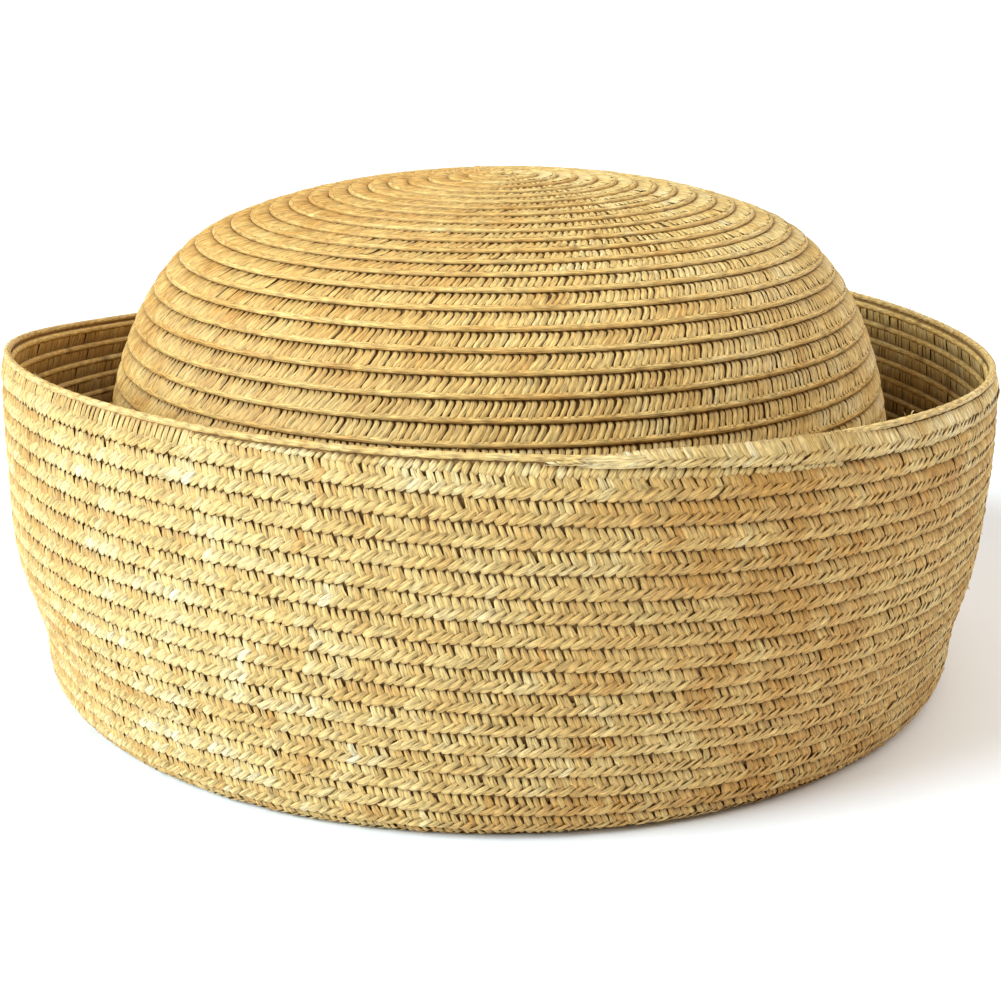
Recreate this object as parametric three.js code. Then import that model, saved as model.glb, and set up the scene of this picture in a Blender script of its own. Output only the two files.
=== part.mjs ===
// A sewn straw-braid hat: a domed crown and a deep brim that is turned up all round it.
// Millimetres, +Z up. The hat stands on the fold of its brim, with its front towards -Y.

import * as THREE from 'three';
import { mergeVertices } from 'three/addons/utils/BufferGeometryUtils.js';

// Driving sizes
const HEAD_HALF_WIDTH = 90; // outside of the crown at the floor, across the head
const OVAL_EXTRA = 7.2; // half length of the hat less its half width
const CROWN_HEIGHT = 107.5;
const RIM_HALF_WIDTH = 107.4;
const RIM_HEIGHT = 71.9; // top of the cord that edges the brim
const FOLD_RADIUS = 4; // the two bends between the crown and the brim, beside a row that lies flat
const WALL = 2; // two lapped rows of braid
const GAP = 0.3; // between neighbouring pieces
const CORD_RADIUS = 0.85;
const CORD_FLATS = 6; // flats round the cord
const SIDES = 32; // flats round the hat

// Rows of braid: each laps out over the next one by a step with a narrow lip
const BRIM_ROWS = 16; // from the rim down to the fold
const CROWN_PITCH = 4.35;
const ROW_STEP = 0.5;
const ROW_LIP = 0.35;
const INNER_RIDGE = 0.4;
const CROWN_INNER_RINGS = 12;
const CROWN_JOIN = 7.4; // height of the seam between crown and brim, and of the fold's still part
const CROWN_TILT = 0.011; // rise of the dome from its left to its right

// Brim wall from the rim down: share of the way, and lean from upright in degrees
const BRIM_SECTION = [
  { way: 0, angle: -4.5 },
  { way: 0.25, angle: 3 },
  { way: 0.5, angle: 5.5 },
  { way: 0.75, angle: 16 },
  { way: 1, angle: 14 },
];

// Crown from its middle down to the floor: share of the way, and fall from level in degrees
const CROWN_SECTION = [
  { way: 0, angle: 0.5 },
  { way: 0.25, angle: 5.3 },
  { way: 0.45, angle: 13.8 },
  { way: 0.6, angle: 48.5 },
  { way: 0.75, angle: 81 },
  { way: 1, angle: 84 },
];

// Soft waves of the rim: how many go round, and their rise across and along the hat
const RIM_WAVES = [
  { count: 1, across: 0.4, along: -3.9 },
  { count: 2, across: -0.1, along: 1.6 },
  { count: 3, across: -1, along: -1.2 },
];
const RIM_EGG = 0.07; // the rim is fuller on the right than on the left
const RIM_SQUARE = -0.009;

// Dents and swells of the brim: where they are, how deep, and how far they spread
const DENTS = [
  { angle: 184, height: 17, depth: 0.6, tall: 8, wide: 38 },
  { angle: 188, height: 33, depth: -0.9, tall: 12, wide: 40 },
  { angle: 182, height: 3, depth: -1.7, tall: 8, wide: 26 },
  { angle: 354, height: 19, depth: 0.4, tall: 8, wide: 36 },
  { angle: 358, height: 3, depth: -2, tall: 9, wide: 26 },
];

// The last row laps over the rim on the right: angles where it grows and where it ends
const LAP = { start: 268, full: 320, leave: 380, end: 480, rows: 1, thickness: 1.1, blunt: 0.5, stations: 30 };

const BRIM_EDGE = RIM_HEIGHT - 2 * CORD_RADIUS - GAP; // top of the sewn brim under its cord
const PATH_STEPS = 240;

const radians = THREE.MathUtils.degToRad;
const { smoothstep } = THREE.MathUtils;

function tableAngle(table, way) {
  const after = Math.max(1, table.findIndex((row) => row.way >= way));
  const [a, b] = [table[after - 1], table[after]];
  return radians(THREE.MathUtils.mapLinear(way, a.way, b.way, a.angle, b.angle));
}

// Points of a section are a radius and a height; this measures along them and finds the outward side
function sectionPath(points) {
  const lengths = [0];
  for (let i = 1; i < points.length; i++) {
    lengths.push(lengths[i - 1] + Math.hypot(points[i].r - points[i - 1].r, points[i].z - points[i - 1].z));
  }
  const total = lengths[lengths.length - 1];
  const at = (distance) => {
    const next = lengths.findIndex((length) => length >= distance);
    const i = THREE.MathUtils.clamp(next < 0 ? points.length - 1 : next, 1, points.length - 1);
    const [a, b] = [points[i - 1], points[i]];
    const run = lengths[i] - lengths[i - 1];
    const share = (distance - lengths[i - 1]) / run;
    return {
      r: a.r + (b.r - a.r) * share,
      z: a.z + (b.z - a.z) * share,
      outR: -(b.z - a.z) / run,
      outZ: (b.r - a.r) / run,
    };
  };
  return { at, total };
}

function leaningSteps(table, stepR, stepZ) {
  const points = [{ r: 0, z: 0 }];
  for (let i = 1; i <= PATH_STEPS; i++) {
    const angle = tableAngle(table, (i - 0.5) / PATH_STEPS);
    const last = points[i - 1];
    points.push({ r: last.r + stepR(angle), z: last.z + stepZ(angle) });
  }
  return points;
}

// Section of the crown's outside, from its middle down to the floor
function crownSection() {
  const raw = leaningSteps(CROWN_SECTION, Math.cos, (angle) => -Math.sin(angle));
  const base = raw[PATH_STEPS];
  const points = raw.map(({ r, z }) => ({
    r: (r * HEAD_HALF_WIDTH) / base.r,
    z: CROWN_HEIGHT - (z * CROWN_HEIGHT) / base.z,
  }));
  return sectionPath(points);
}

// Section of the brim's outside: down the wall, under the fold and up to the seam with the crown
function brimSection() {
  const wallEnd = tableAngle(BRIM_SECTION, 1);
  const crownEnd = Math.PI / 2 - tableAngle(CROWN_SECTION, 1);
  const seam = CROWN_JOIN - GAP;
  const crownInside = HEAD_HALF_WIDTH - WALL / Math.cos(crownEnd) - FOLD_RADIUS * Math.tan(crownEnd);
  const wallFoot = FOLD_RADIUS * (1 - Math.sin(wallEnd));
  const raw = leaningSteps(BRIM_SECTION, (angle) => -Math.sin(angle), (angle) => -Math.cos(angle));
  const size = (wallFoot - BRIM_EDGE) / raw[PATH_STEPS].z;
  const points = raw.map(({ r, z }) => ({ r: RIM_HALF_WIDTH + r * size, z: BRIM_EDGE + z * size }));
  const wall = sectionPath(points).total;
  const bend = (centre, from, to) => {
    for (let i = 1; i <= PATH_STEPS; i++) {
      const turn = from + ((to - from) * i) / PATH_STEPS;
      points.push({ r: centre + FOLD_RADIUS * Math.cos(turn), z: FOLD_RADIUS * (1 - Math.sin(turn)) });
    }
    return sectionPath(points).total;
  };
  const outerCentre = points[PATH_STEPS].r - FOLD_RADIUS * Math.cos(wallEnd);
  const innerCentre = crownInside + FOLD_RADIUS * Math.cos(crownEnd);
  const flatStart = bend(outerCentre, wallEnd, Math.PI / 2);
  points.push({ r: innerCentre, z: 0 });
  const flatEnd = sectionPath(points).total;
  const crownSide = bend(innerCentre, Math.PI / 2, Math.PI - crownEnd);
  const last = points[points.length - 1];
  points.push({ r: last.r - (seam - last.z) * Math.tan(crownEnd), z: seam });
  return { ...sectionPath(points), wall, flatStart, flatEnd, crownSide };
}

const crownPath = crownSection();
const brimPath = brimSection();
const BRIM_PITCH = brimPath.wall / BRIM_ROWS;

function rimRise(turn) {
  return RIM_WAVES.reduce(
    (rise, wave) => rise + wave.across * Math.cos(wave.count * turn) + wave.along * Math.sin(wave.count * turn),
    0,
  );
}

function dentDepth(turn, height) {
  return DENTS.reduce((sum, dent) => {
    const off = THREE.MathUtils.euclideanModulo(THREE.MathUtils.radToDeg(turn) - dent.angle + 180, 360) - 180;
    const round = Math.exp(-((off / dent.wide) ** 2));
    return sum + dent.depth * round * Math.exp(-(((height - dent.height) / dent.tall) ** 2));
  }, 0);
}

// How many rows lower the lapped last row pushes the rest, at one angle
function lapRows(turn) {
  const start = THREE.MathUtils.euclideanModulo(THREE.MathUtils.radToDeg(turn) - LAP.start, 360) + LAP.start;
  return LAP.rows * smoothstep(start, LAP.start, LAP.full) * (1 - smoothstep(start, LAP.leave, LAP.end));
}

// The oval of the brim, with its waves, egg shape and dents, through one point of its section
function brimOval(r, z, turn) {
  const up = z / BRIM_EDGE;
  const square = 1 + RIM_SQUARE * Math.cos(4 * turn) * up;
  const radius = r - dentDepth(turn, z);
  return new THREE.Vector3(
    radius * Math.cos(turn) * square,
    (radius + OVAL_EXTRA) * Math.sin(turn) * (1 + RIM_EGG * Math.cos(turn) * up) * square,
    z + rimRise(turn) * Math.max(0, (z - CROWN_JOIN) / (BRIM_EDGE - CROWN_JOIN)),
  );
}

function brimPoint(distance, out, turn) {
  const point = brimPath.at(distance);
  return brimOval(point.r + out * point.outR, point.z + out * point.outZ, turn);
}

// Rows of the brim move down where the last row laps over the rim, and not at the floor
function brimRowPoint(distance, out, turn) {
  const share = distance > 0 ? Math.max(0, 1 - distance / brimPath.wall) : 0;
  return brimPoint(distance + lapRows(turn) * BRIM_PITCH * share, out, turn);
}

function crownPoint(distance, out, turn) {
  const point = crownPath.at(distance);
  const r = Math.max(0, point.r + out * point.outR);
  const z = point.z + out * point.outZ;
  const x = r * Math.cos(turn);
  const longer = 1 + OVAL_EXTRA / HEAD_HALF_WIDTH;
  return new THREE.Vector3(x, r * longer * Math.sin(turn), z + CROWN_TILT * x * (z / CROWN_HEIGHT) ** 2);
}

// Sides are counted the way that keeps the faces of a turned profile outwards
function sideTurn(side) {
  return (2 * Math.PI * (SIDES - (side % SIDES))) / SIDES;
}

// A closed profile of { distance, out } turned once round, each point placed by the oval it lies on
function turnedShell(profile, place, path) {
  const outline = profile.map(({ distance, out }) => {
    const point = path.at(distance);
    return new THREE.Vector2(Math.max(0, point.r + out * point.outR), point.z + out * point.outZ);
  });
  const geometry = new THREE.LatheGeometry(outline, SIDES);
  const position = geometry.attributes.position;
  for (let side = 0; side <= SIDES; side++) {
    const turn = sideTurn(side);
    profile.forEach(({ distance, out }, i) => {
      const spot = place(distance, out, turn);
      position.setXYZ(side * profile.length + i, spot.x, spot.y, spot.z);
    });
  }
  return welded(geometry);
}

function welded(geometry) {
  geometry.deleteAttribute('normal');
  geometry.deleteAttribute('uv');
  const shape = mergeVertices(geometry);
  shape.computeVertexNormals();
  return shape;
}

// Rows of braid along a section: each starts under the row before it and swells to its lower edge
function lappedRows(from, to, count) {
  const pitch = (to - from) / count;
  const rows = [];
  for (let i = 0; i < count; i++) {
    rows.push({ distance: from + pitch * i, out: -ROW_STEP });
    rows.push({ distance: from + pitch * (i + 1) - ROW_LIP, out: 0 });
  }
  return rows;
}

function crownGeometry() {
  const slopeHeight = (distance) => crownPath.at(distance).z - CROWN_JOIN;
  let edge = crownPath.total;
  while (slopeHeight(edge) < 0) edge -= ROW_LIP;
  const count = Math.floor(edge / CROWN_PITCH);
  const button = edge - count * CROWN_PITCH;
  const outside = [{ distance: 0, out: 0 }, { distance: button - ROW_LIP, out: 0 }];
  outside.push(...lappedRows(button, edge + ROW_LIP, count));
  const inside = [];
  for (let i = CROWN_INNER_RINGS; i >= 0; i--) {
    inside.push({ distance: (edge * i) / CROWN_INNER_RINGS, out: -WALL });
  }
  return turnedShell([...outside, ...inside], crownPoint, crownPath);
}

function brimGeometry() {
  const { wall, flatStart, flatEnd, crownSide, total } = brimPath;
  const outside = lappedRows(0, wall, BRIM_ROWS);
  outside[0].out = 0;
  const fold = [wall, (wall + flatStart) / 2, flatStart, flatEnd, (flatEnd + crownSide) / 2, crownSide, total];
  outside.push(...fold.map((distance) => ({ distance, out: 0 })));
  const inside = [total, crownSide, flatEnd, flatStart].map((distance) => ({ distance, out: -WALL }));
  for (let row = BRIM_ROWS; row > 0; row--) {
    inside.push({ distance: row * BRIM_PITCH, out: -WALL + INNER_RIDGE });
    inside.push({ distance: (row - 0.5) * BRIM_PITCH, out: -WALL });
  }
  inside.push({ distance: 0, out: -WALL });
  return turnedShell([...outside, ...inside, outside[0]], brimRowPoint, brimPath);
}

// The cord lies on the brim's edge, over the middle of its wall
function cordGeometry() {
  const profile = [];
  const middle = brimPath.at(0);
  for (let i = 0; i <= CORD_FLATS; i++) {
    const turn = (2 * Math.PI * (i % CORD_FLATS)) / CORD_FLATS;
    profile.push(new THREE.Vector2(
      middle.r - WALL / 2 + CORD_RADIUS * Math.cos(turn),
      BRIM_EDGE + GAP + CORD_RADIUS - CORD_RADIUS * Math.sin(turn),
    ));
  }
  const geometry = new THREE.LatheGeometry(profile, SIDES);
  const position = geometry.attributes.position;
  for (let side = 0; side <= SIDES; side++) {
    const turn = sideTurn(side);
    profile.forEach((point, i) => {
      const edge = brimOval(point.x, BRIM_EDGE, turn);
      position.setXYZ(side * profile.length + i, edge.x, edge.y, edge.z + point.y - BRIM_EDGE);
    });
  }
  return welded(geometry);
}

// The lapped last row: a band as wide as its lap at each angle, bent on to the outside of the brim
function lapGeometry() {
  const geometry = new THREE.BoxGeometry(1, 1, 1, LAP.stations, LAP.rows, 1);
  const position = geometry.attributes.position;
  for (let i = 0; i < position.count; i++) {
    const turn = radians(LAP.start + (LAP.end - LAP.start) * (position.getX(i) + 0.5));
    const width = LAP.blunt + lapRows(turn) * BRIM_PITCH;
    const out = GAP + LAP.thickness * (position.getZ(i) + 0.5);
    const spot = brimPoint(width * (0.5 - position.getY(i)), out, turn);
    position.setXYZ(i, spot.x, spot.y, spot.z);
  }
  return welded(geometry);
}

function braid(color) {
  return new THREE.MeshStandardMaterial({ color, roughness: 0.8, metalness: 0, side: THREE.DoubleSide });
}

function piece(name, geometry, material) {
  const mesh = new THREE.Mesh(geometry, material);
  mesh.name = name;
  return mesh;
}

const hat = new THREE.Group();
hat.name = 'straw_hat';
hat.add(piece('crown', crownGeometry(), braid('#cfae6e')));
hat.add(piece('brim', brimGeometry(), braid('#d6b876')));
hat.add(piece('edge_cord', cordGeometry(), braid('#dcc288')));
hat.add(piece('lapped_row', lapGeometry(), braid('#d3b574')));

export default hat;
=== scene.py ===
"""A sewn straw-braid hat: a domed crown and a deep brim turned up all round it, on a pale studio floor."""

import math

import bpy
import numpy as np
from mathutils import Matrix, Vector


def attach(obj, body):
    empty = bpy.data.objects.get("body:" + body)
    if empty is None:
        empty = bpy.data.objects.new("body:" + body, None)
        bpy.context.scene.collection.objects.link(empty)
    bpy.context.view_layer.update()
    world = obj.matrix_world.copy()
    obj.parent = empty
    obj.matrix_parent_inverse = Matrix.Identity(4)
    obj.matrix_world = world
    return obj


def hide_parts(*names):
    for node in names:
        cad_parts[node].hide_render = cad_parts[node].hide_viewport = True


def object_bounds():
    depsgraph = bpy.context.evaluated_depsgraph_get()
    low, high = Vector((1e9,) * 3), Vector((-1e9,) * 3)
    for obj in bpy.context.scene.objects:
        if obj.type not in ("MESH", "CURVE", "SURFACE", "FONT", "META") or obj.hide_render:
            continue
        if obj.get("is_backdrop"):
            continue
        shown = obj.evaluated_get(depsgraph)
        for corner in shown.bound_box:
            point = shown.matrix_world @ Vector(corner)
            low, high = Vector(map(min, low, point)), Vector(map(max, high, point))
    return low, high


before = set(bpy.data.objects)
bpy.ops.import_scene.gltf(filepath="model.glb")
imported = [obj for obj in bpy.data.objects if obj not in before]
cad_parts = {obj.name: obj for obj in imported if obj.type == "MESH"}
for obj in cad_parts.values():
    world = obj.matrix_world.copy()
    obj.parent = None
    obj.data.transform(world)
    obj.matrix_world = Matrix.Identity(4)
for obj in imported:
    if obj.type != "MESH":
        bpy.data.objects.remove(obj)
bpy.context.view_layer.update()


# The crown is one long run of plaited paper straw, wound from the middle of the top.
# Each turn is sewn over the upper edge of the next, so its lower edge stands proud as a smooth cord.

MM = 0.001  # sizes are in millimetres, the scene is in metres
FULL_TURN = 2 * math.pi
HEAD_HALF_WIDTH = 90
OVAL_EXTRA = 7.2  # the head is longer than it is wide
CROWN_HEIGHT = 107.5
CROWN_TILT = 0.011  # the dome rises a little from left to right
CROWN_FALL = [  # share of the way from the middle of the top to the foot, slope in degrees
    (0, 0.5),
    (0.25, 5.3),
    (0.45, 13.8),
    (0.6, 48.5),
    (0.75, 81),
    (1, 84),
]
PATH_STEPS = 240
WALL = 2.0
GROUND_DEPTH = 1.0  # the ground, dark brown as painted shade, lies in the middle of the wall
CROWN_PITCH = 4.35
CROWN_STITCH = 1.4  # from one strand of the plait to the next
CROWN_SPLIT = 94  # the braid is two pieces, above and below this row
CROWN_FOOT = 166  # the last turn goes down into the gutter behind the brim
CROWN_CORD = 3.6  # from a row's upper edge to the cord at its lower edge
CORD_STEP = 1.6
CORD_WIND = 3.4  # along a cord, one turn of the strands that are wound round it

rng = np.random.default_rng(41)


def section(radius, height):
    """Measures along a section and finds its outward side."""
    length = np.concatenate([[0], np.cumsum(np.hypot(np.diff(radius), np.diff(height)))])
    out_r = -np.gradient(height, length)
    out_z = np.gradient(radius, length)
    size = np.hypot(out_r, out_z)
    return {"length": length, "r": radius, "z": height, "out_r": out_r / size, "out_z": out_z / size}


def on_section(path, distance, out):
    """Radius and height of points at a distance along a section, some way out from it."""
    keys = ("r", "z", "out_r", "out_z")
    r, z, out_r, out_z = (np.interp(distance, path["length"], path[key]) for key in keys)
    return r + out * out_r, z + out * out_z


def leaning(table):
    """The slope of a section at the middle of each of its steps, in radians."""
    way = (np.arange(PATH_STEPS) + 0.5) / PATH_STEPS
    share, degrees = np.array(table).T
    return np.radians(np.interp(way, share, degrees))


fall = leaning(CROWN_FALL)
run = np.concatenate([[0], np.cumsum(np.cos(fall))])
drop = np.concatenate([[0], np.cumsum(np.sin(fall))])
crown_path = section(run * HEAD_HALF_WIDTH / run[-1], CROWN_HEIGHT * (1 - drop / drop[-1]))


def crown_place(distance, out, turn):
    """Points of the crown: so far down its section, so far out of it, at that turn round the hat."""
    r, z = on_section(crown_path, np.maximum(distance, 0.02), out)
    r = np.maximum(r, 0.01)
    x = r * np.cos(turn)
    y = r * (1 + OVAL_EXTRA / HEAD_HALF_WIDTH) * np.sin(turn)
    return np.stack([x, y, z + CROWN_TILT * x * (z / CROWN_HEIGHT) ** 2], -1)


def crown_row(turn):
    """How far down the crown the braid's upper edge lies. The first turn coils round the middle."""
    return CROWN_PITCH * np.maximum(turn / FULL_TURN - 1, 0)


def stitches_along(place, row_middle, first_turn, last_turn, stitch):
    """Turns at which strands cross a row, one stitch apart, and the turn of one millimetre there."""
    turn = np.linspace(first_turn, last_turn, int((last_turn - first_turn) / 0.01))
    points = place(row_middle(turn), np.zeros_like(turn), turn)
    steps = np.linalg.norm(np.diff(points, axis=0), axis=1)
    length = np.concatenate([[0], np.cumsum(steps)])
    at = np.interp(np.arange(0, length[-1], stitch), length, turn)
    per_mm = np.interp(at, (turn[1:] + turn[:-1]) / 2, np.diff(turn) / steps)
    return at, per_mm


def strand_shape(lengthwise, across):
    """One flat strand of straw, rounded over its width, as points (along, across, height) and faces."""
    bpy.ops.object.select_all(action="DESELECT")
    bpy.ops.mesh.primitive_grid_add(x_subdivisions=lengthwise, y_subdivisions=across, size=2)
    strand = bpy.context.object
    bpy.ops.object.mode_set(mode="EDIT")
    bpy.ops.mesh.select_all(action="DESELECT")
    bpy.ops.object.mode_set(mode="OBJECT")
    for vertex in strand.data.vertices:
        vertex.select = abs(vertex.co.y) < 0.9
    bpy.ops.object.mode_set(mode="EDIT")
    bpy.ops.transform.translate(value=(0, 0, 1))
    bpy.ops.object.mode_set(mode="OBJECT")
    points = np.array([vertex.co for vertex in strand.data.vertices])
    points[:, 0] = (points[:, 0] + 1) / 2
    faces = np.array([list(face.vertices) for face in strand.data.polygons])
    bpy.data.objects.remove(strand, do_unlink=True)
    return points, faces


def straw_tints(count, spread=1.0):
    """Tint of each strand: it drifts along the plait, neighbours differ, a few are golden or whitened."""
    marks = np.arange(0, count + 12, 6)
    drift = np.interp(np.arange(count), marks, rng.normal(0, 0.11, len(marks)))
    odd = rng.random(count)
    own = rng.normal(0, 0.08, count) + np.where(odd < 0.02, -0.25, 0) + np.where(odd > 0.97, 0.22, 0)
    return np.clip(0.5 + spread * (drift + own), 0, 1)


def facing(points, faces, outward):
    """The same faces, all turned over if most of them look inwards."""
    corner = points[faces]
    normal = np.cross(corner[:, 2] - corner[:, 0], corner[:, 3] - corner[:, 1])
    return faces if np.mean(np.sum(normal * outward[faces[:, 0]], 1) > 0) > 0.5 else faces[:, ::-1]


def lay_strands(shape, course, turns, per_mm, row, place, lean=1.0, spread=1.0, tints=None, tilt=0.0,
                lift=0.0, wide=1.0, uneven=1.0, fade=1.0):
    """Copies one strand to every stitch of a row.

    The course of the strand is a table: share of its length, millimetres along the row, down the row and
    out, its half width and its rounding. Every copy is a little different, as in hand plaiting.
    Painted shade darkens the strand where it lies deep and along its edges, and a greater fade keeps that
    to its deepest end.
    """
    points, faces = shape
    count = len(turns)
    table = np.array(course, float)
    share = points[:, 0]
    before, after = share - 0.02, share + 0.02
    along, down, out, half, arch = (np.interp(share, table[:, 0], table[:, i]) for i in range(1, 6))
    ahead, below = (np.interp(after, table[:, 0], table[:, i]) - np.interp(before, table[:, 0], table[:, i])
                    for i in (1, 2))
    size = np.hypot(ahead, below)
    side_along, side_down = -below / size, ahead / size
    lean, spread, lift, wide = (np.broadcast_to(value, (count,))[:, None]
                                for value in (lean, spread, lift, wide))
    girth, skew, slip, sag, rise, twist, bend, swell = uneven * rng.normal(0, 1, (8, count, 1))
    width = half * points[:, 1] * wide * np.clip(1 + 0.17 * girth, 0.6, 1.5)
    bow = 0.12 * bend * np.sin(math.pi * share)
    along_row = along * lean * (1 + 0.15 * skew) + side_along * (width + bow) + 0.12 * slip
    down_row = (down + side_down * (width + bow) + 0.07 * sag) * spread
    height = out + arch * points[:, 2] * (1 + 0.2 * swell) + lift + 0.08 * rise
    height = height + (tilt + 0.06 * twist) * points[:, 1]
    turn = turns[:, None] + along_row * per_mm[:, None]
    distance = row(turn) + down_row
    tint = straw_tints(count) if tints is None else tints
    reach = np.concatenate([[0], np.cumsum(np.hypot(np.diff(table[:, 1]), np.diff(table[:, 2])))])
    strand_uv = np.stack([np.interp(share, table[:, 0], reach), half * points[:, 1]], -1)
    # painted shade: darker where the strand dives deep under its neighbours, and a little along its edges
    shade = np.clip((out.max() - out) / 0.75, 0, 1) ** fade * 0.85 + 0.15 * (1 - points[:, 2])
    laid = place(distance, height, turn).reshape(-1, 3)
    outward = place(distance, height + 0.1, turn).reshape(-1, 3) - laid
    copies = (faces[None] + (np.arange(count) * len(points))[:, None, None]).reshape(-1, 4)
    return {
        "points": laid,
        "faces": facing(laid, copies, outward),
        "tint": np.repeat(tint, len(points)),
        "shade": np.tile(shade, count),
        "strand": (strand_uv[None] + rng.uniform(0, 400, (count, 1, 2))).reshape(-1, 2),
        "cell": np.stack([np.tile(share, count), np.tile((points[:, 1] + 1) / 2, count)], -1),
        "owner": np.repeat(np.arange(count), len(points)),
    }


def lay_cord(centre, radii, turns, row, place, sides=6, sweep=(-70, 215), wind=0.0, painted_underside_shade=1.0, paler=0.0):
    """A round run of strands that lies along a row.

    The sweep is the part of the round that is modelled, in degrees. Wound strands show as shallow slanting
    grooves as deep as wind, dusky darkens the underside, and paler is added to the strands' tints.
    """
    angle = np.radians(np.linspace(sweep[0], sweep[1], sides))
    middle = place(row(turns) + centre[0], np.full(len(turns), centre[1]), turns)
    length = np.concatenate([[0], np.cumsum(np.linalg.norm(np.diff(middle, axis=0), axis=1))])
    winding = length[:, None] / CORD_WIND + angle[None] / FULL_TURN
    groove = np.exp(-((winding % 1 - 0.5) / 0.14) ** 2)
    size = 1 - wind * groove + 0.02 * rng.normal(0, 1, (len(turns), 1))
    size[-1] = size[0]
    distance = row(turns)[:, None] + centre[0] - radii[0] * np.cos(angle) * size
    out = centre[1] + radii[1] * np.sin(angle) * size
    points = place(distance, out, np.broadcast_to(turns[:, None], distance.shape))
    first = np.arange(len(turns) - 1)[:, None] * sides + np.arange(sides - 1)[None]
    faces = np.stack([first, first + 1, first + sides + 1, first + sides], -1).reshape(-1, 4)
    wound = np.floor(winding).astype(int) + 1
    tint = straw_tints(wound.max() + 1, 0.7)[wound] + np.broadcast_to(paler, len(turns))[:, None]
    # painted shade: the cord is darker on its underside and in the grooves between its wound strands
    under = painted_underside_shade * np.clip(0.5 - 0.5 * np.sin(angle), 0, 1) ** 2
    shade = under + 0.6 * np.clip((0.97 - size) / max(wind, 0.01), 0, 1)
    outward = (points - middle[:, None]).reshape(-1, 3)
    ring = np.arange(len(turns))
    rings_in_cell = 40
    return {
        "points": points.reshape(-1, 3),
        "faces": facing(points.reshape(-1, 3), faces, outward),
        "tint": np.clip(tint, 0, 1).ravel(),
        "shade": np.clip(shade, 0, 1).ravel(),
        "strand": np.stack([np.repeat(length, sides), np.tile(angle * radii[0], len(turns))], -1),
        "cell": np.stack([np.repeat((ring % rings_in_cell) / rings_in_cell, sides),
                          np.tile(np.linspace(0, 1, sides), len(turns))], -1),
        "owner": np.repeat(ring // rings_in_cell, sides),
    }


def plaited_piece(name, runs, material):
    """Joins runs of strands in one mesh, with each strand's tint, shade and own cell in the texture."""
    base = np.cumsum([0] + [len(run["points"]) for run in runs])
    owners = np.cumsum([0] + [run["owner"].max() + 1 for run in runs])
    points = np.concatenate([run["points"] for run in runs]) * MM
    points[:, 2] = np.maximum(points[:, 2], 0.0)
    faces = np.concatenate([run["faces"] + start for run, start in zip(runs, base)])
    owner = np.concatenate([run["owner"] + start for run, start in zip(runs, owners)])
    mesh = bpy.data.meshes.new(name)
    mesh.vertices.add(len(points))
    mesh.vertices.foreach_set("co", points.astype(np.float32).ravel())
    mesh.loops.add(faces.size)
    mesh.loops.foreach_set("vertex_index", faces.astype(np.int32).ravel())
    mesh.polygons.add(len(faces))
    mesh.polygons.foreach_set("loop_start", np.arange(0, faces.size, 4, dtype=np.int32))
    mesh.polygons.foreach_set("use_smooth", np.ones(len(faces), bool))
    for key in ("tint", "shade"):
        values = np.concatenate([run[key] for run in runs]).astype(np.float32)
        mesh.attributes.new(key, "FLOAT", "POINT").data.foreach_set("value", values)
    corner = faces.ravel()
    strand = np.concatenate([run["strand"] for run in runs])[corner]
    columns = int(math.ceil(math.sqrt(owner.max() + 1)))
    cell = np.concatenate([run["cell"] for run in runs]) * 0.84 + 0.08  # a margin stays free round each cell
    cell = (cell + np.stack([owner % columns, owner // columns], -1)) / columns
    mesh.uv_layers.new(name="OFBake").uv.foreach_set("vector", cell[corner].astype(np.float32).ravel())
    mesh.uv_layers.new(name="strand").uv.foreach_set("vector", strand.astype(np.float32).ravel())
    mesh.update(calc_edges=True)
    mesh.validate()
    piece = bpy.data.objects.new(name, mesh)
    bpy.context.scene.collection.objects.link(piece)
    mesh.materials.append(material)
    return piece


def linear(colour):
    """An sRGB hex colour as linear light."""
    channels = [int(colour[i:i + 2], 16) / 255 for i in (1, 3, 5)]
    return [c / 12.92 if c <= 0.04045 else ((c + 0.055) / 1.055) ** 2.4 for c in channels] + [1]


def add_node(tree, kind, links, **settings):
    """Adds a node with its settings, and links or values for its inputs."""
    made = tree.nodes.new(kind)
    for key, value in settings.items():
        setattr(made, key, value)
    for socket, value in links.items():
        if isinstance(value, bpy.types.NodeSocket):
            tree.links.new(value, made.inputs[socket])
        else:
            made.inputs[socket].default_value = value
    return made


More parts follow.
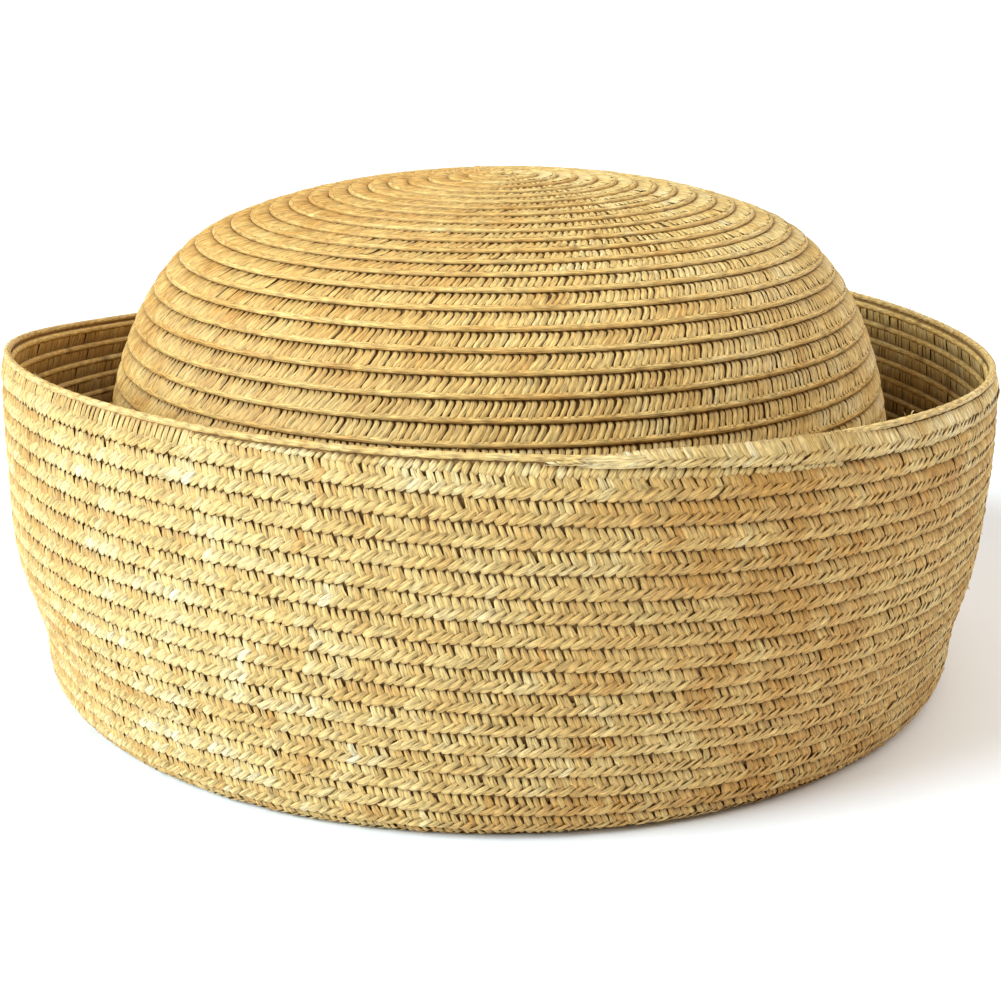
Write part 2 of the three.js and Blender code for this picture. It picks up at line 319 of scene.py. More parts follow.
def straw(name, colours, painted_shade_colour, roughness):
    """Plaited paper straw: matt ribbons of differing tint, streaked along, in painted brown shade where they
    dive under.
    """
    material = bpy.data.materials.new(name)
    material.use_nodes = True
    tree = material.node_tree
    shader = tree.nodes["Principled BSDF"]

    # Soft patches, about a centimetre wide, make the hat golder and paler over each strand's own tint
    tint = add_node(tree, "ShaderNodeAttribute", {}, attribute_name="tint")
    whole = add_node(tree, "ShaderNodeTexCoord", {})
    bleach = add_node(tree, "ShaderNodeTexNoise",
                      {"Vector": whole.outputs["Object"], "Scale": 120, "Detail": 3})
    patches = add_node(tree, "ShaderNodeMapRange", {"Value": bleach.outputs["Fac"], "From Min": 0.3,
                                                    "From Max": 0.7, "To Min": -0.12, "To Max": 0.12})
    mottled = add_node(tree, "ShaderNodeMath", {0: tint.outputs["Fac"], 1: patches.outputs["Result"]},
                       operation="ADD")
    ramp = add_node(tree, "ShaderNodeValToRGB", {"Fac": mottled.outputs["Value"]})
    stops = ramp.color_ramp.elements
    while len(stops) < len(colours):
        stops.new(0.5)
    for stop, (position, colour) in zip(stops, colours):
        stop.position = position
        stop.color = linear(colour)

    # Fine fibres streak each strand lengthwise, and its tone changes slowly
    strand = add_node(tree, "ShaderNodeUVMap", {}, uv_map="strand")
    stretched = add_node(tree, "ShaderNodeMapping",
                         {"Vector": strand.outputs["UV"], "Scale": (0.35, 3.4, 1)})
    fibre = add_node(tree, "ShaderNodeTexNoise",
                     {"Vector": stretched.outputs["Vector"], "Scale": 1.0, "Detail": 4})
    patch = add_node(tree, "ShaderNodeTexNoise", {"Vector": strand.outputs["UV"], "Scale": 0.7, "Detail": 2})
    streak = add_node(tree, "ShaderNodeMapRange", {"Value": fibre.outputs["Fac"], "From Min": 0.32,
                                                   "From Max": 0.68, "To Min": 0.5, "To Max": 1.34})
    blotch = add_node(tree, "ShaderNodeMapRange", {"Value": patch.outputs["Fac"], "From Min": 0.3,
                                                   "From Max": 0.7, "To Min": 0.86, "To Max": 1.08})
    both = add_node(tree, "ShaderNodeMath", {0: streak.outputs["Result"], 1: blotch.outputs["Result"]},
                    operation="MULTIPLY")
    streaked = add_node(tree, "ShaderNodeVectorMath",
                        {0: ramp.outputs["Color"], "Scale": both.outputs["Value"]}, operation="SCALE")

    # Painted shade: brown where a strand dives under its neighbours
    shade = add_node(tree, "ShaderNodeAttribute", {}, attribute_name="shade")
    deep = add_node(tree, "ShaderNodeMath", {0: shade.outputs["Fac"], 1: 0.8}, operation="MULTIPLY")
    tone = add_node(tree, "ShaderNodeMix", {0: deep.outputs["Value"], 6: streaked.outputs["Vector"],
                                            7: linear(painted_shade_colour)}, data_type="RGBA")
    tree.links.new(tone.outputs[2], shader.inputs["Base Color"])

    # The fibres stand out a little and catch the light
    raised = add_node(tree, "ShaderNodeBump",
                      {"Height": fibre.outputs["Fac"], "Strength": 1.0, "Distance": 0.0002})
    tree.links.new(raised.outputs["Normal"], shader.inputs["Normal"])
    shader.inputs["Roughness"].default_value = roughness
    shader.inputs["Specular IOR Level"].default_value = 0.35
    return material


def painted_shade_ground(name, place, distances, sides, colours):
    """The ground behind the strands: the section's rows turned once round and given a thickness.
    It stands for the straw seen through the gaps, coloured dark brown as painted shade.
    """
    turn = np.linspace(0, FULL_TURN, sides, endpoint=False)
    down, around = np.meshgrid(distances, turn, indexing="ij")
    grid = place(down, np.full(down.shape, -GROUND_DEPTH), around) * MM
    bpy.ops.object.select_all(action="DESELECT")
    bpy.ops.mesh.primitive_grid_add(x_subdivisions=sides, y_subdivisions=len(distances) - 1, size=2)
    shell = bpy.context.object
    shell.name = name
    across = np.array([vertex.co for vertex in shell.data.vertices])
    column = np.rint((across[:, 0] + 1) / 2 * sides).astype(int) % sides
    level = np.rint((across[:, 1] + 1) / 2 * (len(distances) - 1)).astype(int)
    shell.data.vertices.foreach_set("co", grid[level, column].astype(np.float32).ravel())
    bpy.ops.object.mode_set(mode="EDIT")
    bpy.ops.mesh.select_all(action="SELECT")
    bpy.ops.mesh.remove_doubles(threshold=0.00002)
    bpy.ops.mesh.normals_make_consistent(inside=False)
    bpy.ops.object.mode_set(mode="OBJECT")
    bpy.ops.object.shade_smooth()
    thick = shell.modifiers.new("wall", "SOLIDIFY")
    thick.thickness = 0.4 * MM
    thick.offset = 0
    bpy.ops.object.modifier_apply(modifier="wall")
    material = bpy.data.materials.new(name.replace("_", " ") + " straw")
    material.use_nodes = True
    tree = material.node_tree
    shader = tree.nodes["Principled BSDF"]
    whole = add_node(tree, "ShaderNodeTexCoord", {})
    mottle = add_node(tree, "ShaderNodeTexNoise",
                      {"Vector": whole.outputs["Object"], "Scale": 900, "Detail": 3})
    ramp = add_node(tree, "ShaderNodeValToRGB", {"Fac": mottle.outputs["Fac"]})
    ramp.color_ramp.elements[0].position = 0.3
    ramp.color_ramp.elements[0].color = linear(colours[0])
    ramp.color_ramp.elements[1].position = 0.7
    ramp.color_ramp.elements[1].color = linear(colours[1])
    raised = add_node(tree, "ShaderNodeBump", {"Height": mottle.outputs["Fac"], "Distance": 0.0003})
    tree.links.new(ramp.outputs["Color"], shader.inputs["Base Color"])
    tree.links.new(raised.outputs["Normal"], shader.inputs["Normal"])
    shader.inputs["Roughness"].default_value = 0.85
    shell.data.materials.clear()
    shell.data.materials.append(material)
    return shell


CROWN_TINTS = [  # from golden to whitened straw
    (0, "#ca954a"),
    (0.2, "#d4a55c"),
    (0.4, "#ddb46a"),
    (0.6, "#e5c179"),
    (0.8, "#ebce8f"),
    (1, "#f0daa8"),
]
# brown of the painted shade where the crown's strands dive under their neighbours
CROWN_PAINTED_SHADE = "#704c20"
crown_straw = straw("crown paper straw plait", CROWN_TINTS, CROWN_PAINTED_SHADE, 0.6)

last_turn = FULL_TURN * (CROWN_FOOT / CROWN_PITCH)
side_turn = FULL_TURN * (CROWN_SPLIT / CROWN_PITCH + 1)
turns, per_mm = stitches_along(crown_place, lambda t: crown_row(t) + 2, 0, last_turn, CROWN_STITCH)
edge_turns = stitches_along(crown_place, lambda t: crown_row(t) + CROWN_CORD, 0, last_turn, CORD_STEP)[0]
CROWN_STRAND = [  # share of the strand, along, down, out, half width, rounding
    (0, 0.5, -0.3, -0.8, 0.4, 0.2),
    (0.25, 0.85, 0.6, -0.34, 0.52, 0.3),
    (0.5, 0.5, 1.55, -0.2, 0.57, 0.32),
    (0.75, -0.2, 2.5, -0.08, 0.58, 0.27),
    (1, -0.85, 3.3, 0.08, 0.36, 0.12),
]
steep_strand = strand_shape(4, 2)
sway = 0.85 + 0.15 * np.sin(turns * 3.1) + 0.12 * np.sin(turns * 7.3)  # the strands lean now more, now less
first_coil = 0.06 * np.clip((1.2 * FULL_TURN - turns) / (0.2 * FULL_TURN), 0, 1)  # lifted over the start
low_down = np.clip((crown_row(turns) - 85) / 25, 0, 1)  # the rows near the brim are closer, and paler as painted light against the brim's shade
# painted light: the crown's strands are paler towards its right, the side turned away from the lamp
tints = np.clip(straw_tints(len(turns), 0.7) - 0.09 + 0.26 * np.cos(turns) + 0.12 * low_down, 0, 1)
closer = 1 + 0.12 * np.clip(np.cos(turns), 0, 1) + 0.2 * np.clip(-np.cos(turns), 0, 1) + 0.08 * low_down
for label, low, high in (("crown_top_braid", 0, side_turn), ("crown_side_braid", side_turn, last_turn)):
    chosen = (turns >= low) & (turns < high)
    cord_at = edge_turns[(edge_turns >= low) & (edge_turns < high + 0.02)]
    runs = [
        lay_strands(steep_strand, CROWN_STRAND, turns[chosen], per_mm[chosen], crown_row, crown_place,
                    lean=sway[chosen], lift=first_coil[chosen], tints=tints[chosen], wide=closer[chosen],
                    uneven=0.6, fade=1.8),
        # painted light: the cords too are paler on the right
        lay_cord((CROWN_CORD, -0.26), (0.72, 0.46), cord_at, crown_row, crown_place, wind=0.05,
                 paler=0.2 * np.cos(cord_at) - 0.12),
    ]
    if label == "crown_top_braid":  # the start of the plait is a small coil that fills the middle
        coil_turns = np.linspace(0, FULL_TURN, 25)
        runs.append(lay_cord((0.9, 0.0), (0.9, 0.4), coil_turns, lambda t: 0 * t, crown_place))
    braid = plaited_piece(label, runs, crown_straw)
    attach(braid, "root")
    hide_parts("crown")

# painted shade: the crown's ground, the straw seen through the gaps, is coloured in dark browns
crown_ground = painted_shade_ground("crown_ground", crown_place, np.linspace(0, CROWN_FOOT + 1, 44), 80,
                            ("#6a4b23", "#946d38"))
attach(crown_ground, "root")
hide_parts("crown")


# Inside the crown the back of the same plait shows, modelled coarser, as it lies in shadow.
# Each row's upper edge is a ridge of shallow strands that laps over the loops of the row above.

INNER_FACE = WALL - 0.15  # from the plait's outer face to its inner one
HOLLOW_STITCH = 2.0


def crown_inside(distance, out, turn):
    """Points on the inner face of the crown, where out is towards the head."""
    return crown_place(distance, -INNER_FACE - out, turn)


hollow_straw = straw("crown inside paper straw plait", CROWN_TINTS, CROWN_PAINTED_SHADE, 0.65)
hollow_strand = strand_shape(2, 2)
HOLLOW_LOOP = [
    (0, 0.5, 1.5, -0.25, 0.95, 0.2),
    (0.5, 0.05, 3.0, -0.28, 0.85, 0.3),
    (1, -0.4, 4.6, -0.85, 0.55, 0.2),
]
HOLLOW_RIDGE = [
    (0, -2.2, 0.05, -0.36, 0.5, 0.14),
    (0.5, 0.0, 1.0, 0.06, 0.6, 0.2),
    (1, 2.2, 1.95, -0.4, 0.4, 0.12),
]
at, step = stitches_along(crown_place, lambda t: crown_row(t) + 2, 0, last_turn, HOLLOW_STITCH)
runs = [
    lay_strands(hollow_strand, HOLLOW_LOOP, at, step, crown_row, crown_inside, uneven=0.7),
    lay_strands(hollow_strand, HOLLOW_RIDGE, at, step, crown_row, crown_inside, uneven=0.6),
]
hollow = plaited_piece("crown_inside_braid", runs, hollow_straw)
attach(hollow, "root")
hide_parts("crown")


# The brim is the same run of plait, turned up from a fold at the floor, so its back face shows outside.
# Each row ends in a rope-like ridge of shallow strands that is sewn over the upright loops of the row below.

RIM_HALF_WIDTH = 107.4
RIM_HEIGHT = 71.9
CORD_RADIUS = 0.85
GAP = 0.3
FOLD_RADIUS = 4
CROWN_JOIN = 7.4
BRIM_LEAN = [(0, -4.5), (0.25, 3), (0.5, 5.5), (0.75, 16), (1, 14)]  # share of the way down, degrees
BRIM_PITCH = 4.27
BRIM_STITCH = 1.44
RIDGE_STITCH = 1.9  # wider than the loops' stitch: the strands lie side by side in the ridge
BRIM_EDGE = RIM_HEIGHT - 2 * CORD_RADIUS - GAP
RIM_WAVES = [(1, 0.4, -3.9), (2, -0.1, 1.6), (3, -1, -1.2)]  # how many go round, rise across and along
RIM_EGG = 0.07  # seen from above, the rim is narrower at the left
RIM_SQUARE = -0.009
DENTS = [  # angle, height, depth, how tall and how wide
    (184, 17, 0.6, 8, 38),
    (188, 33, -0.9, 12, 40),
    (182, 3, -1.7, 8, 26),
    (354, 19, 0.4, 8, 36),
    (358, 3, -2, 9, 26),
]
ROWS_START = math.radians(240)  # across the front, from here to ROWS_STEPPED, the rows step down one pitch
ROWS_STEPPED = math.radians(324)
LAP_START = math.radians(268)  # the last turn comes out of the rim here and is a whole row at LAP_FULL
LAP_FULL = math.radians(320)


def brim_section():
    """The brim's outer face from the rim down its wall, under the fold and up to the seam with the crown."""
    lean = leaning(BRIM_LEAN)
    wall_end = math.radians(BRIM_LEAN[-1][1])
    crown_end = math.radians(90 - CROWN_FALL[-1][1])
    inside = HEAD_HALF_WIDTH - WALL / math.cos(crown_end) - FOLD_RADIUS * math.tan(crown_end)
    across = np.concatenate([[0], np.cumsum(-np.sin(lean))])
    down = np.concatenate([[0], np.cumsum(np.cos(lean))])
    size = (BRIM_EDGE - FOLD_RADIUS * (1 - math.sin(wall_end))) / down[-1]
    r, z = RIM_HALF_WIDTH + across * size, BRIM_EDGE - down * size
    outer = r[-1] - FOLD_RADIUS * math.cos(wall_end)
    inner = inside + FOLD_RADIUS * math.cos(crown_end)
    first = np.linspace(wall_end, math.pi / 2, 40)[1:]
    second = np.linspace(math.pi / 2, math.pi - crown_end, 40)
    bend_r = np.concatenate([outer + FOLD_RADIUS * np.cos(first), inner + FOLD_RADIUS * np.cos(second)])
    bend_z = np.concatenate([FOLD_RADIUS * (1 - np.sin(first)), FOLD_RADIUS * (1 - np.sin(second))])
    seam = CROWN_JOIN - GAP
    last_r = bend_r[-1] - (seam - bend_z[-1]) * math.tan(crown_end)
    made = section(np.concatenate([r, bend_r, [last_r]]), np.concatenate([z, bend_z, [seam]]))
    made["wall"] = made["length"][PATH_STEPS]
    return made


brim_path = brim_section()
brim_end = brim_path["length"][-1]


def brim_oval(r, z, turn):
    """Points round the hat at a radius and height, with the waves of the rim and the soft dents."""
    up = z / BRIM_EDGE
    square = 1 + RIM_SQUARE * np.cos(4 * turn) * up
    rise = sum(across * np.cos(n * turn) + along * np.sin(n * turn) for n, across, along in RIM_WAVES)
    dented = 0
    for angle, height, depth, tall, wide in DENTS:
        off = (np.degrees(turn) - angle + 180) % 360 - 180
        dented = dented + depth * np.exp(-(off / wide) ** 2) * np.exp(-((z - height) / tall) ** 2)
    x = (r - dented) * np.cos(turn) * square
    y = (r - dented + OVAL_EXTRA) * np.sin(turn) * (1 + RIM_EGG * np.cos(turn) * up) * square
    return np.stack([x, y, z + rise * np.maximum(0, (z - CROWN_JOIN) / (BRIM_EDGE - CROWN_JOIN))], -1)


def brim_place(distance, out, turn):
    """Points of the brim: so far down its section, so far out of it. The fold is pressed a little flat."""
    settled = np.clip((distance - brim_path["wall"] + 3) / 6, 0, 1)
    r, z = on_section(brim_path, distance, out - 0.45 * settled)
    above = np.minimum(distance, 0)
    return brim_oval(r, z - above, turn)


def smooth_step(value, low, high):
    """Rises from 0 at the low value to 1 at the high one, without a kink."""
    share = np.clip((value - low) / (high - low), 0, 1)
    return share * share * (3 - 2 * share)


def brim_row(turn):
    """How far down the brim the braid's lower edge lies. The turn counts on from where the rows step."""
    whole = np.floor((turn - ROWS_START) / FULL_TURN)
    part = turn - FULL_TURN * whole
    stepped = whole + smooth_step(part, ROWS_START, ROWS_STEPPED)
    lapped = smooth_step(part, LAP_START, LAP_FULL)
    return BRIM_PITCH * np.where(whole < 1, lapped, stepped)


def under_rim(turn):
    """The first whole row's upper edge: the groove under the rim cord, then the edge of the lapped row."""
    groove = 0.15 * (1 - smooth_step(turn - FULL_TURN, math.radians(270), math.radians(280)))
    return brim_row(turn - FULL_TURN) - groove


def knuckles():
    """Short strands at the top of the first whole row, where the step of the rows leaves its edge bare."""
    at, step = stitches_along(brim_place, under_rim, FULL_TURN + math.radians(236),
                              FULL_TURN + math.radians(304), BRIM_STITCH)
    bare = brim_row(at) - under_rim(at) - 4.15
    shown = bare > 0.2
    course = [
        (0, 0.75, 0.0, -0.8, 0.5, 0.2),
        (0.25, 0.5, 0.35, -0.34, 0.64, 0.28),
        (0.5, 0.15, 0.8, -0.18, 0.68, 0.28),
        (0.75, -0.2, 1.3, -0.2, 0.66, 0.24),
        (1, -0.5, 1.75, -0.4, 0.55, 0.16),
    ]
    return lay_strands(steep_strand, course, at[shown], step[shown], under_rim, brim_place,
                       spread=(bare[shown] + 0.5) / 1.7, uneven=0.8)


BRIM_TINTS = [  # from golden to whitened straw
    (0, "#c7944a"),
    (0.2, "#d0a45f"),
    (0.4, "#d8b26c"),
    (0.6, "#e0bf7c"),
    (0.8, "#e8cd93"),
    (1, "#f0deb2"),
]
# the brown given after the tints is the painted shade where strands dive under
brim_straw = straw("brim paper straw plait", BRIM_TINTS, "#6c4820", 0.6)
first_row = ROWS_START + FULL_TURN
turns, per_mm = stitches_along(brim_place, lambda t: brim_row(t) - 2, first_row, ROWS_START + FULL_TURN * 21,
                               BRIM_STITCH)
kept = brim_row(turns) < brim_end + 2
turns, per_mm = turns[kept], per_mm[kept]
BRIM_LOOP = [  # share of the strand, along, down from the row's lower edge, out, half width, rounding
    (0, -0.42, -4.3, -0.88, 0.22, 0.18),
    (0.25, -0.34, -3.72, -0.38, 0.48, 0.34),
    (0.5, -0.08, -3.0, -0.2, 0.61, 0.38),
    (0.75, 0.22, -2.2, -0.16, 0.7, 0.33),
    (1, 0.55, -1.4, -0.25, 0.7, 0.2),
]
BRIM_RIDGE = [
    (0, 1.8, -1.98, -0.42, 0.38, 0.1),
    (0.25, 0.92, -1.6, -0.04, 0.58, 0.15),
    (0.5, 0.0, -1.04, 0.1, 0.66, 0.16),
    (0.75, -0.92, -0.48, 0.05, 0.62, 0.15),
    (1, -1.8, -0.1, -0.26, 0.5, 0.1),
]
LOOSE_FIBRE = [
    (0, 0.2, -3.2, -0.15, 0.08, 0.06),
    (0.25, 0.35, -3.0, 0.3, 0.07, 0.05),
    (0.5, 0.6, -2.75, 0.55, 0.06, 0.04),
    (0.75, 0.95, -2.55, 0.7, 0.04, 0.03),
    (1, 1.4, -2.45, 0.75, 0.02, 0.01),
]
bold_strand = strand_shape(4, 3)
bearing = np.degrees(turns) % 360
painted_light_and_shade = 0.17 * np.exp(-((bearing - 238) / 18) ** 2) - 0.26 * np.exp(-((bearing - 300) / 20) ** 2) - 0.03
tints = np.clip(straw_tints(len(turns)) + painted_light_and_shade, 0, 1)  # painted light and shade: paler at the front left, where the lamp falls, golder at its right, in shade
leftward = np.clip(-np.cos(turns), 0, 1)
drawn = 1 + 0.14 * np.abs(np.cos(turns)) + 0.24 * leftward  # the loops are closer at the sides of the hat
slant = 1 + 0.9 * np.clip(np.cos(turns), 0, 1)  # and lean more on the right
frayed = rng.random(len(turns)) < 0.012
ridge_turns, ridge_per_mm = stitches_along(brim_place, brim_row, turns[0], turns[-1], RIDGE_STITCH)
ridge_across = np.cos(ridge_turns)  # 1 at the right of the hat and -1 at the left
ridge_tints = np.interp(ridge_turns, turns, tints) + rng.normal(0, 0.05, len(ridge_turns))
ridge_tints = np.clip(ridge_tints + 0.06 * np.clip(-ridge_across, 0, 1), 0, 1)
ridge_reach = 1 + 0.2 * np.clip(0.35 - ridge_across, -0.6, 1)
ridge_reach = ridge_reach + 0.1 * np.clip(brim_row(ridge_turns) / 60, 0, 1)
ridge_wide = 1 + 0.14 * np.clip(ridge_across, 0, 1)
ridge_lift = -0.2 * np.clip(np.abs(ridge_across) - 0.5, 0, 1)
middle_row = brim_path["wall"] * 0.54  # the braid is two pieces, above and below this row
bands = (("brim_upper_braid", -1, middle_row), ("brim_lower_braid", middle_row, brim_end + 9))
for label, above, below in bands:
    chosen = (brim_row(turns) >= above) & (brim_row(turns) < below)
    ridge = (brim_row(ridge_turns) >= above) & (brim_row(ridge_turns) < below)
    loose = frayed & chosen
    runs = [
        lay_strands(steep_strand, BRIM_LOOP, turns[chosen], per_mm[chosen], brim_row, brim_place,
                    tints=tints[chosen] - 0.95 * (drawn[chosen] - 1), wide=drawn[chosen],
                    lean=slant[chosen], lift=-0.22 * leftward[chosen], uneven=0.8),
        lay_strands(bold_strand, BRIM_RIDGE, ridge_turns[ridge], ridge_per_mm[ridge], brim_row, brim_place,
                    tints=ridge_tints[ridge], tilt=0.13, uneven=0.6, spread=ridge_reach[ridge], fade=1.5,
                    wide=ridge_wide[ridge], lift=ridge_lift[ridge]),
        lay_strands(steep_strand, LOOSE_FIBRE, turns[loose], per_mm[loose], brim_row, brim_place,
                    tints=tints[loose] + 0.2, lean=rng.uniform(-1.4, 1.4, loose.sum())),
    ]
    if label == "brim_upper_braid":
        runs.append(knuckles())
    braid = plaited_piece(label, runs, brim_straw)
    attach(braid, "root")
    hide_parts("brim")

# painted shade: the brim's ground, the straw seen through the gaps, is coloured in dark browns
brim_ground = painted_shade_ground("brim_ground", brim_place, np.linspace(-1.0, brim_end, 56), 96,
                           ("#6e4f26", "#9a743c"))
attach(brim_ground, "root")
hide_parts("brim")


# Inside the brim the right side of the same plait shows again, down into the gutter round the crown.
# The upper edge of each row is a smooth cord that is sewn over the foot of the row above.

# the brown given after the tints is the painted shade where strands dive under
inner_straw = straw("inner paper straw plait", CROWN_TINTS, "#5e411c", 0.65)
INNER_STRAND = [
    (0, -0.3, -3.2, -0.02, 0.72, 0.1),
    (0.5, 0.1, -1.4, -0.22, 0.8, 0.16),
    (1, 0.5, 0.5, -0.65, 0.74, 0.14),
]
edge_strand = strand_shape(3, 2)


def brim_inside(distance, out, turn):
    """Points on the inner face of the brim, where out is towards the crown."""
    return brim_place(distance, -INNER_FACE - out, turn)


inner_end = turns[brim_row(turns) < brim_path["wall"] + 6][-1]
at, step = stitches_along(brim_place, brim_row, ROWS_START, inner_end, BRIM_STITCH)
room = np.where(at < first_row, np.maximum(brim_row(at) + 0.4, 0) / BRIM_PITCH, 1)  # less at the lap's point
fits = room > 0.3
inner_turns = np.arange(LAP_START + 0.62, inner_end, 0.025)
inner_tints = np.clip(straw_tints(fits.sum()) + 0.15 * np.cos(at[fits]), 0, 1)
runs = [
    lay_strands(edge_strand, INNER_STRAND, at[fits], step[fits], brim_row, brim_inside,
                spread=np.minimum(room, 1)[fits], tints=inner_tints),
    lay_cord((-3.55, -0.15), (0.8, 0.5), inner_turns, brim_row, brim_inside),
]
for run in runs:  # painted shade: darker deeper down, as little light gets down into the gutter round the crown
    depth = BRIM_EDGE - run["points"][:, 2]
    painted_gutter_shade = 0.3 * smooth_step(depth, 1, 9) + 0.5 * smooth_step(depth, 12, 36)
    run["shade"] = np.clip(run["shade"] + painted_gutter_shade, 0, 1)
inner_braid = plaited_piece("brim_inner_braid", runs, inner_straw)
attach(inner_braid, "root")
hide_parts("brim")


# A thin cord of the same straw is sewn along the whole rim. Its strands are wound, so slanting grooves
# show along it, and a few loose fibres stand up from it.

# the brown given after the tints is the painted shade in the cord's grooves and under it
cord_straw = straw("rim cord paper straw", BRIM_TINTS, "#7a5528", 0.55)
POINT_OF_LAP = 281  # degrees: the last turn of the plait comes out beside the cord round here


def rim_row(turn):
    """The cord runs along the rim and sinks a little where the last turn comes out beside it."""
    return 0.5 * np.exp(-((np.degrees(turn) - POINT_OF_LAP) / 8) ** 2)


cord_turns = np.linspace(0, FULL_TURN, 900)
rim = lay_cord((-1.05, -0.95), (0.68, 0.8), cord_turns, rim_row, brim_place, sides=11, sweep=(-180, 180),
               wind=0.16, painted_underside_shade=0.15)
RIM_FIBRE = [
    (0, 0.0, -1.55, -0.95, 0.07, 0.05),
    (0.25, 0.2, -1.9, -0.9, 0.06, 0.05),
    (0.5, 0.45, -2.2, -0.8, 0.05, 0.04),
    (0.75, 0.8, -2.4, -0.7, 0.04, 0.03),
    (1, 1.2, -2.5, -0.55, 0.02, 0.01),
]
FIBRES = 46
fibre_turns = rng.uniform(0, FULL_TURN, FIBRES)
fibres = lay_strands(steep_strand, RIM_FIBRE, fibre_turns, np.full(FIBRES, 1 / RIM_HALF_WIDTH), rim_row,
                     brim_place, lean=rng.uniform(-1.3, 1.3, FIBRES), tints=np.full(FIBRES, 0.75))
rim_cord = plaited_piece("rim_cord", [rim, fibres], cord_straw)
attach(rim_cord, "root")
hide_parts("edge_cord")


# The last turn of the plait comes out over the rim at the front, covers the cord for a hand's breadth,
# and widens to a whole row on the right, which then runs round the back as the first row of the brim.

# the brown given after the tints is the painted shade where strands dive under
lap_straw = straw("lapped paper straw plait", BRIM_TINTS, "#7a5528", 0.58)
lap_turns, lap_per_mm = stitches_along(brim_place, brim_row, math.radians(275), first_row, BRIM_STITCH)
lap_at = np.degrees(lap_turns)
over_cord = smooth_step(lap_at, 273, 285) * (1 - smooth_step(lap_at, 301, 312))
close_up = smooth_step(lap_at, 400, 520) * (1 - 0.8 * smooth_step(lap_at, 570, 598))  # no groove at the left
settling = smooth_step(lap_at, 500, 598)  # at its end it is as the row that follows
lap_width = (brim_row(lap_turns) + 0.2 + 1.7 * over_cord + 0.7 * close_up) / 4.6
lap_slant = 1 + 0.9 * np.clip(np.cos(lap_turns), 0, 1) - 1.8 * smooth_step(lap_turns, 8.9, 9.7)
lap_tints = np.clip(straw_tints(len(lap_turns)) + 0.16 - 0.2 * settling, 0, 1)
lap_lift = 0.2 + 0.34 * over_cord + 0.07 * close_up - 0.3 * settling
edge_turns, edge_per_mm = stitches_along(brim_place, brim_row, lap_turns[0], lap_turns[-1], RIDGE_STITCH)
LAP_LOOP = [  # as the brim's loops, but full to the top, where they turn over the rim
    (0, -0.5, -4.65, -0.82, 0.48, 0.2),
    (0.25, -0.34, -3.85, -0.46, 0.58, 0.3),
    (0.5, -0.08, -3.05, -0.28, 0.63, 0.33),
    (0.75, 0.22, -2.25, -0.2, 0.7, 0.3),
    (1, 0.55, -1.45, -0.22, 0.72, 0.2),
]
runs = [
    lay_strands(steep_strand, LAP_LOOP, lap_turns, lap_per_mm, brim_row, brim_place, spread=lap_width,
                tints=lap_tints - 0.25 * close_up, lift=lap_lift - 0.2 * close_up,
                wide=1.18 + 0.3 * close_up, uneven=0.6, lean=lap_slant, fade=2.5),
    lay_strands(bold_strand, BRIM_RIDGE, edge_turns, edge_per_mm, brim_row, brim_place, tilt=0.14,
                uneven=0.6, spread=np.interp(edge_turns, lap_turns, lap_width * (1 + 0.25 * close_up)),
                tints=np.interp(edge_turns, lap_turns, lap_tints),
                lift=np.interp(edge_turns, lap_turns, lap_lift)),
]
for down in (-0.2, -0.65, -1.1, -1.55):  # at its point the plait's strands run straight out of the cord
    straight = [
        (0, -7, down + 0.35, -0.5, 0.2, 0.1),
        (0.25, -3.5, down + 0.15, 0.0, 0.36, 0.2),
        (0.5, 0, down, 0.12, 0.42, 0.24),
        (0.75, 3.5, down - 0.1, 0.06, 0.38, 0.2),
        (1, 7, down - 0.2, -0.5, 0.2, 0.1),
    ]
    runs.append(lay_strands(bold_strand, straight, np.radians([POINT_OF_LAP]), np.array([1 / RIM_HALF_WIDTH]),
                            brim_row, brim_place, lift=0.4, tints=np.array([0.7]), uneven=0.3))
lapped = plaited_piece("lapped_row_braid", runs, lap_straw)
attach(lapped, "root")
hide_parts("lapped_row")


# The studio is a plain floor of matt pale paper that runs out of sight. A broad soft light stands on the
# left, a softer one above and a weak one behind on the right, and the camera looks as in the photo.

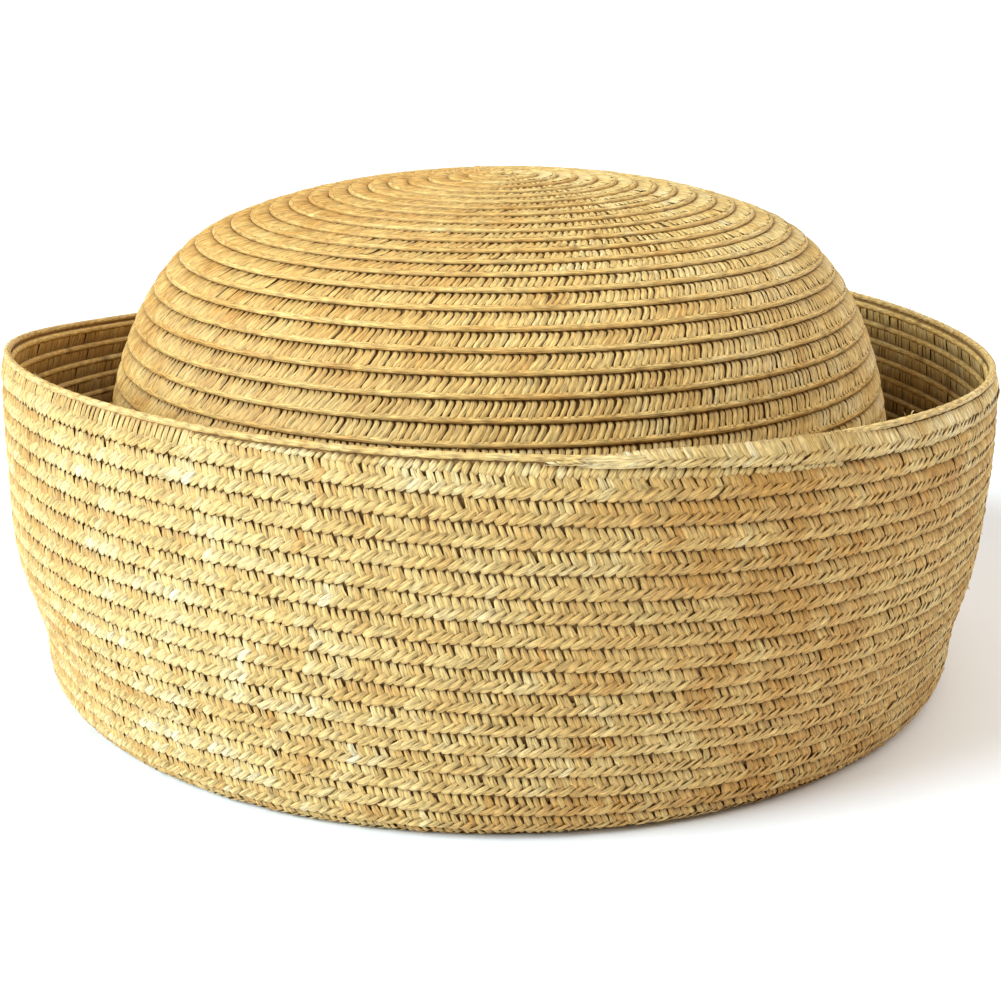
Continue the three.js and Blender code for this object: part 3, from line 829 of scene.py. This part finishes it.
FLOOR_SIZE = 200  # metres, so that no edge of it shows
bpy.ops.object.select_all(action="DESELECT")
bpy.ops.mesh.primitive_plane_add(size=FLOOR_SIZE)
floor = bpy.context.object
floor.name = "floor"
paper = bpy.data.materials.new("matt paper floor")
paper.use_nodes = True
paper_tree = paper.node_tree
paper_shader = paper_tree.nodes["Principled BSDF"]
paper_place = add_node(paper_tree, "ShaderNodeTexCoord", {})
paper_tone = add_node(paper_tree, "ShaderNodeTexNoise",
                      {"Vector": paper_place.outputs["Object"], "Scale": 40})
paper_ramp = add_node(paper_tree, "ShaderNodeValToRGB", {"Fac": paper_tone.outputs["Fac"]})
paper_ramp.color_ramp.elements[0].color = linear("#eceef2")
paper_ramp.color_ramp.elements[1].color = linear("#f0f2f6")
paper_tree.links.new(paper_ramp.outputs["Color"], paper_shader.inputs["Base Color"])
paper_shader.inputs["Roughness"].default_value = 0.9
floor.data.materials.append(paper)
floor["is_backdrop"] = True


def soft_light(name, towards, degrees, strength, colour):
    """A window-like light from far away, as wide in the sky as the given angle."""
    lamp = bpy.data.lights.new(name, "SUN")
    lamp.angle = math.radians(degrees)
    lamp.energy = strength
    lamp.color = linear(colour)[:3]
    light = bpy.data.objects.new(name, lamp)
    bpy.context.scene.collection.objects.link(light)
    flat = math.hypot(towards[0], towards[1])
    light.rotation_euler = (math.atan2(flat, towards[2]), 0, math.atan2(towards[0], -towards[1]))


soft_light("key", (-0.93, -0.37, 0.55), 40, 5.7, "#dff3ff")
soft_light("top", (0.45, -0.05, 1), 70, 1.7, "#fffefb")
soft_light("fill", (0.9, 0.45, 0.5), 60, 0.4, "#fffaf4")

world = bpy.data.worlds.new("studio")
bpy.context.scene.world = world
world.use_nodes = True
background = world.node_tree.nodes["Background"]
background.inputs["Color"].default_value = linear("#fff4e4")
background.inputs["Strength"].default_value = 0.37
bpy.context.scene.view_settings.view_transform = "Standard"

camera_data = bpy.data.cameras.new("camera")
camera_data.sensor_width = 36
camera_data.lens = 70.25
camera = bpy.data.objects.new("camera", camera_data)
bpy.context.scene.collection.objects.link(camera)
camera.location = (0.00059, -0.4274, 0.1570)
camera.rotation_euler = (math.radians(73.89), 0, 0)
bpy.context.scene.camera = camera

low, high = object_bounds()
